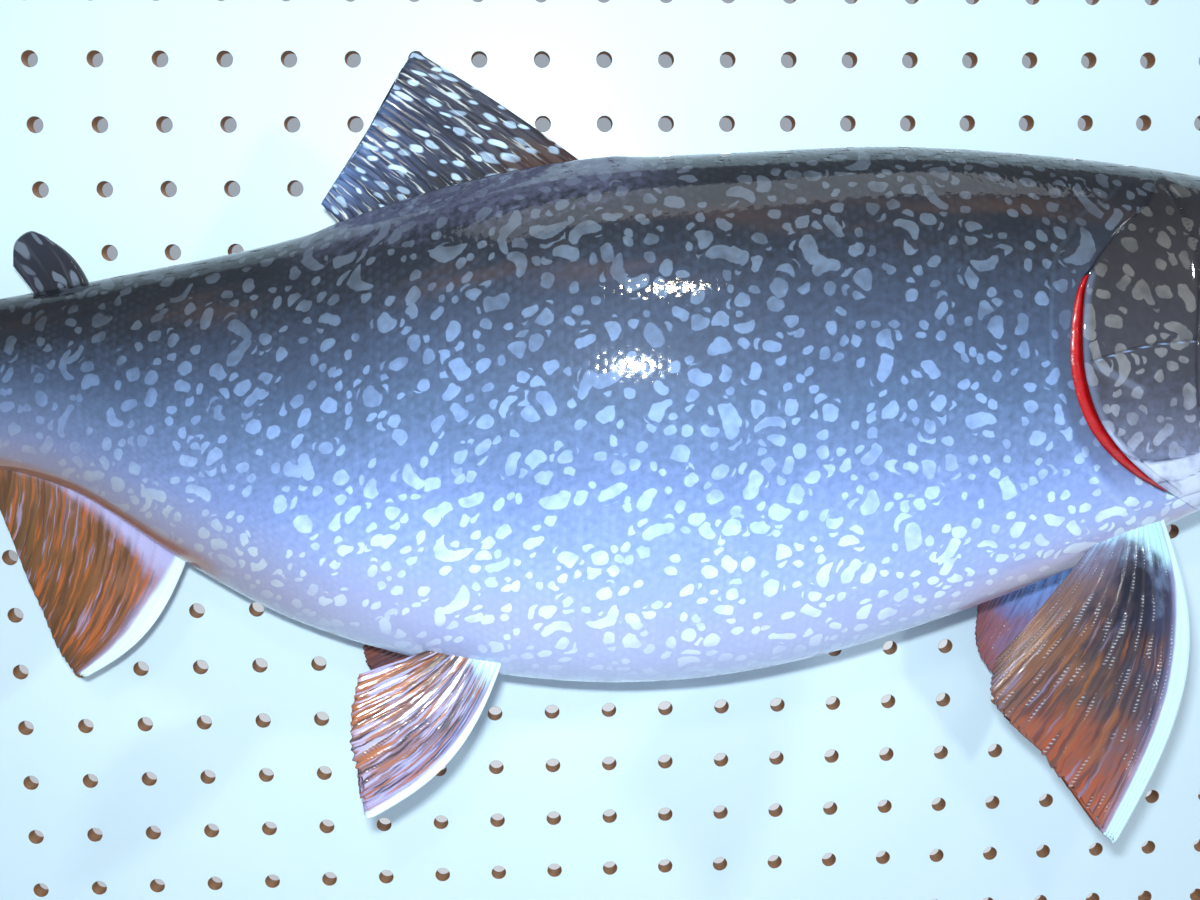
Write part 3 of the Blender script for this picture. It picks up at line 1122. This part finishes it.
def fin_paint(name, front, middle, rear, ray_tint, streaks, front_edge=(0.0, (222, 246, 255)), ovals=None,
              root=(0.0, (190, 228, 250)), ray_show=0.4, streak_show=0.5, streak_from=-0.3, grain=0.12,
              jointed=0.7, pale_joints=0.0, front_base=None):
    """Paint for a fin: ramps from root to edge for its front, middle and rear, rays and streaks."""
    made = Finish(name, roughness=0.45, specular_ior_level=0.1, coat_weight=1.0, coat_roughness=0.08)
    across, out, ray = made.split(made.attribute("fin", 1))
    reach = made.attribute("reach", 1)
    wobble = made.times_plus(made.noise(reach, 90.0, 4.0), 0.44, -0.22)
    out_wobbly = made.plus(out, wobble)
    across_wobbly = made.plus(across, wobble)
    bands = [made.ramp(out_wobbly, [(place, tint(*colour)) for place, colour in stops])
             for stops in (front, middle, rear)]
    colour = made.blend(made.step(across_wobbly, 0.12, 0.42), bands[0], bands[1])
    colour = made.blend(made.step(across_wobbly, 0.45, 0.8), colour, bands[2])
    bent = made.shift(reach, made.stretch(made.drift(reach, 160.0, 2.0), (0.0016, 0.003, 0)))
    streak_show = made.times(made.step(out_wobbly, streak_from, streak_from + 0.3), streak_show)
    for turn, (pitch, share, streak_tint) in enumerate(streaks):
        long_place = made.stretch(made.shift(bent, (turn * 0.7, 0, 0)), (pitch, pitch * 0.07, 0))
        streak = made.step(made.noise(long_place, 1.0, 2.0), 0.93 - share, 1.04 - share)
        colour = made.glaze(colour, streak, streak_show, streak_tint)
    colour = made.glaze(colour, ray, ray_show, ray_tint)
    if ovals:
        colour = painted_ovals(made, colour, reach, out_wobbly, *ovals)
    if front_base:
        at_front = made.times(made.step(across_wobbly, 0.34, 0.1), made.step(out_wobbly, 0.4, 0.12))
        colour = made.glaze(colour, at_front, 0.75, front_base)
    root_reach, root_tint = root
    if root_reach:
        root_wobbly = made.times_plus(wobble, 0.3, out)
        root_edge = made.times_plus(made.step(across, 0.75, 0.0), root_reach, root_reach * 0.3)
        pale_root = made.step(made.less(root_wobbly, root_edge), 0.05, -0.06)
        colour = made.blend(pale_root, colour, tint(*root_tint))
    edge_wide, edge_tint = front_edge
    lead_edge = 0.0
    if edge_wide:
        shrunk = made.times(made.times_plus(made.step(out, 0.0, 0.5), 0.6, 0.4), edge_wide)
        from_front = made.less(across, made.times_plus(wobble, 0.05, shrunk))
        lavender = made.step(from_front, 0.07, 0.0)
        colour = made.glaze(colour, lavender, 0.55, (176, 180, 232))
        lead_edge = made.step(from_front, 0.018, -0.015)
        colour = made.blend(lead_edge, colour, tint(*edge_tint))
    long_way = made.split(reach)[1]
    joints = made.calc("SINE", made.times_plus(wobble, 30.0, made.times(long_way, 4600.0)))
    groups = made.step(made.noise(made.stretch(reach, (330, 100, 0)), 1.0, 1.0), 0.44, 0.6)
    crests = made.times(ray, groups)
    if pale_joints:
        joint = made.times(made.step(joints, 0.1, 0.95), made.step(crests, 0.5, 0.98))
        colour = made.glaze(colour, joint, pale_joints, (222, 232, 250))
    made.put("Base Color", colour)
    bumps = made.times(made.times_plus(joints, 0.5, 0.5), crests)
    fine = made.noise(made.stretch(reach, (2400, 300, 0)), 1.0, 2.0)
    relief = made.times_plus(fine, grain, made.times(bumps, jointed))
    relief = made.times(relief, made.less(1.0, made.times(lead_edge, 0.8)))
    bumped = made.bump(relief, 0.3 * mm, 1.0)
    made.put("Normal", bumped)
    made.put("Coat Normal", bumped)
    return made.material


# the dorsal fin leans back, charcoal at its root and bluer outside, with scattered pale ovals
dorsal = fin("dorsal_fin_web", [(49, 42, 114), (-4, 39, 104), (-50, 35, 93)],
             [(-23, 38, 162.5), (-34.5, 37.5, 145), (-47, 37, 124.5), (-60, 36, 106.5)],
             bow_front=(0.5, 0, 1.2), bow_back=(0, 0, 1), rays=14, columns=240, ridge=0.55, seed=3, wave=0.7)
dorsal.data.materials.append(fin_paint(
    "dorsal_paint", [(0.0, (40, 32, 32)), (0.1, (70, 46, 38)), (0.32, (52, 48, 56)), (1.0, (60, 68, 88))],
    [(0.0, (22, 22, 28)), (0.25, (38, 40, 50)), (0.55, (54, 62, 86)), (1.0, (68, 86, 124))],
    [(0.0, (30, 32, 42)), (0.3, (46, 54, 72)), (0.6, (64, 80, 116)), (1.0, (84, 112, 160))],
    (84, 94, 120), [(520, 0.46, (24, 24, 30)), (430, 0.30, (84, 98, 138)), (860, 0.355, (222, 230, 228))],
    ovals=(225.0, 0.95, (190, 220, 250)), ray_show=0.2, streak_show=0.65, streak_from=-0.02,
    grain=0.06, jointed=0.12, front_base=(62, 40, 34)))
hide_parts("dorsal_fin")

# the adipose fin is a small fleshy lobe without rays
adipose = fin("adipose_fin_lobe", [(-150, 27, 73), (-160, 26.3, 71), (-170, 25.5, 68)],
              [(-166.5, 25, 94.5), (-172.5, 25, 97.2), (-178.8, 25, 93), (-180.5, 25, 84)],
              bow_front=(1.6, 0, 2.4), bow_back=(1, 0, -1), rays=0, columns=60, rows=48, thick=4.4, thin=2.2,
              ridge=0, frayed=0, wave=0, flesh_root=0.6, seed=4)
adipose_tones = [(0.0, (36, 37, 44)), (1.0, (46, 50, 62))]
adipose.data.materials.append(fin_paint(
    "adipose_paint", adipose_tones, adipose_tones, adipose_tones, (60, 62, 70), [(260, 0.4, (84, 88, 98))],
    ovals=(190.0, 0.7, (104, 114, 130)), ray_show=0.0, streak_show=0.4))
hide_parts("adipose_fin")

# the anal fin is lavender at its root and rust outside, with a white front edge
anal = fin("anal_fin_web", [(-117, 33, -26), (-157, 29, -3), (-195, 25, 10)],
           [(-165, 31, -81.5), (-171, 30, -75.5), (-183, 28, -46), (-197, 24, -2)], bow_front=(4.5, 1, -7),
           rays=11, seed=5)
anal.data.materials.append(fin_paint(
    "anal_paint",
    [(0.0, (176, 166, 206)), (0.1, (170, 150, 190)), (0.25, (140, 96, 80)), (1.0, (120, 74, 46))],
    [(0.0, (176, 164, 200)), (0.1, (150, 120, 130)), (0.2, (130, 88, 58)), (0.7, (118, 78, 48)),
     (1.0, (96, 66, 42))],
    [(0.0, (150, 130, 140)), (0.12, (126, 92, 70)), (0.6, (112, 80, 50)), (1.0, (96, 72, 48))],
    (126, 84, 54), [(430, 0.42, (190, 102, 50)), (470, 0.36, (164, 152, 190)), (520, 0.42, (86, 60, 44))],
    front_edge=(0.10, (222, 246, 255)), root=(0.16, (178, 176, 222)), ray_show=0.1, streak_show=0.7,
    jointed=0.3))
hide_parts("anal_fin")

# the tail fin spreads from the end of the tail stock, slate with pale ovals, warmer below
tail = fin("tail_fin_web", [(-296, 19.4, 76), (-303, 19.2, 38), (-296, 19.4, 0)],
           [(-401, 18, 139), (-372, 18, 82), (-352, 18.6, 38), (-372, 18, -8), (-399, 18, -64)],
           bow_front=(-3, 0, 6), bow_back=(-3, 0, -6), rays=22, columns=260, rows=90, seed=6, flesh_root=1.2)
tail.data.materials.append(fin_paint(
    "tail_paint", [(0.0, (54, 60, 76)), (0.5, (52, 58, 76)), (1.0, (48, 48, 58))],
    [(0.0, (60, 68, 88)), (0.5, (58, 66, 88)), (1.0, (56, 52, 60))],
    [(0.0, (74, 84, 108)), (0.5, (86, 86, 110)), (1.0, (108, 80, 68))],
    (88, 96, 120), [(520, 0.46, (38, 38, 48)), (430, 0.36, (98, 112, 150))],
    ovals=(190.0, 0.8, (150, 180, 222)), ray_show=0.3, streak_show=0.6))
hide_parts("tail_fin")

# the pelvic pair hang under the belly, the near one painted in more tones than the far one
pelvic_rows = {
    "near": ([(7.5, 60, -64), (-3, 58.5, -63), (-13.5, 56, -61.5)],
             [(-46, 84, -121), (-48.5, 81.5, -111), (-52, 75.5, -90), (-49.5, 66, -70.5)], (6.5, 3, -7.5)),
    "far": ([(6, 22, -62), (-8, 21, -61), (-20, 20, -59)],
            [(-40, 12, -107), (-45, 12, -100), (-52, 13, -89), (-55.5, 14, -77)], (6, -1, -5))}
near_pelvic_finish = fin_paint(
    "near_pelvic_paint",
    [(0.0, (186, 222, 250)), (0.22, (96, 108, 150)), (0.5, (104, 102, 146)), (1.0, (168, 158, 206))],
    [(0.0, (170, 200, 240)), (0.15, (104, 110, 140)), (0.45, (116, 104, 128)), (1.0, (150, 112, 112))],
    [(0.0, (110, 96, 110)), (0.2, (92, 74, 70)), (0.5, (136, 90, 64)), (1.0, (150, 92, 62))],
    (120, 104, 122), [(760, 0.44, (44, 42, 54)), (640, 0.42, (172, 104, 64)), (700, 0.42, (176, 178, 226))],
    front_edge=(0.085, (226, 250, 255)), root=(0.13, (196, 240, 255)), ray_show=0.15, streak_show=0.85,
    grain=0.12, jointed=0.35)
far_pelvic_tones = [(0.0, (84, 78, 122)), (0.4, (112, 72, 84)), (1.0, (122, 66, 48))]
far_pelvic_finish = fin_paint(
    "far_pelvic_paint", far_pelvic_tones, far_pelvic_tones, far_pelvic_tones, (84, 60, 72),
    [(520, 0.44, (70, 46, 60)), (480, 0.36, (140, 84, 66))], front_edge=(0.085, (226, 250, 255)),
    ray_show=0.2, streak_show=0.7)
for name, (root, edge, bow) in pelvic_rows.items():
    pelvic = fin(name + "_pelvic_fin_web", root, edge, bow_front=bow, rays=10, seed=7, columns=150,
                 frayed=0.02, ridge=0.4)
    pelvic.data.materials.append(near_pelvic_finish if name == "near" else far_pelvic_finish)
    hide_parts(name + "_pelvic_fin")

# the near pectoral fin hangs behind the gill cover, dark in the middle and rust at its tip
near_pectoral = fin(
    "near_pectoral_fin_web", [(254, 78, -11), (243, 80, -15), (229, 80, -21)],
    [(237.5, 91, -139), (230, 91, -130), (207, 89, -100), (188.5, 87, -79), (190.5, 85, -65)],
    bow_front=(17, 5, 6), bow_back=(0, 2, 1), rays=14, columns=200, rows=100, ridge=0.42, seed=8, wave=0.6)
near_pectoral.data.materials.append(fin_paint(
    "near_pectoral_paint",
    [(0.0, (180, 222, 246)), (0.16, (110, 130, 166)), (0.3, (64, 66, 94)), (0.6, (84, 82, 114)),
     (0.82, (136, 98, 108)), (1.0, (176, 92, 68))],
    [(0.0, (176, 214, 240)), (0.12, (80, 88, 112)), (0.22, (32, 34, 48)), (0.48, (38, 38, 54)),
     (0.72, (88, 66, 62)), (1.0, (168, 84, 54))],
    [(0.0, (150, 176, 216)), (0.2, (112, 106, 132)), (0.4, (112, 90, 92)), (0.65, (130, 88, 62)),
     (1.0, (112, 84, 76))],
    (98, 84, 92), [(430, 0.40, (160, 98, 54)), (520, 0.44, (50, 44, 58)), (480, 0.34, (138, 138, 178))],
    front_edge=(0.15, (205, 238, 255)), root=(0.14, (182, 228, 248)), ray_show=0.2, streak_show=0.6,
    streak_from=0.36, grain=0.3, pale_joints=0.5))
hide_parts("near_pectoral_fin")

# the far pectoral fin hangs beside the panel in the same pose, bluer at its root
far_pectoral = fin(
    "far_pectoral_fin_web", [(254, 26, -11), (243, 24, -15), (229, 22, -21)],
    [(246, 20, -130), (238, 20, -122), (222, 19, -102), (210, 18.5, -84), (209.5, 18.5, -66)],
    bow_front=(17, -1, 6), bow_back=(0, -1, 3), rays=14, columns=180, rows=90, ridge=0.4, seed=9, wave=0.6)
far_pectoral_tones = [
    (0.0, (150, 200, 250)), (0.5, (112, 164, 238)), (0.72, (112, 112, 164)), (0.88, (136, 90, 104)),
    (1.0, (132, 76, 72))]
far_pectoral.data.materials.append(fin_paint(
    "far_pectoral_paint", far_pectoral_tones, far_pectoral_tones, far_pectoral_tones, (92, 96, 130),
    [(480, 0.40, (66, 72, 104))], front_edge=(0.13, (205, 238, 255)), ray_show=0.2))
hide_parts("far_pectoral_fin")
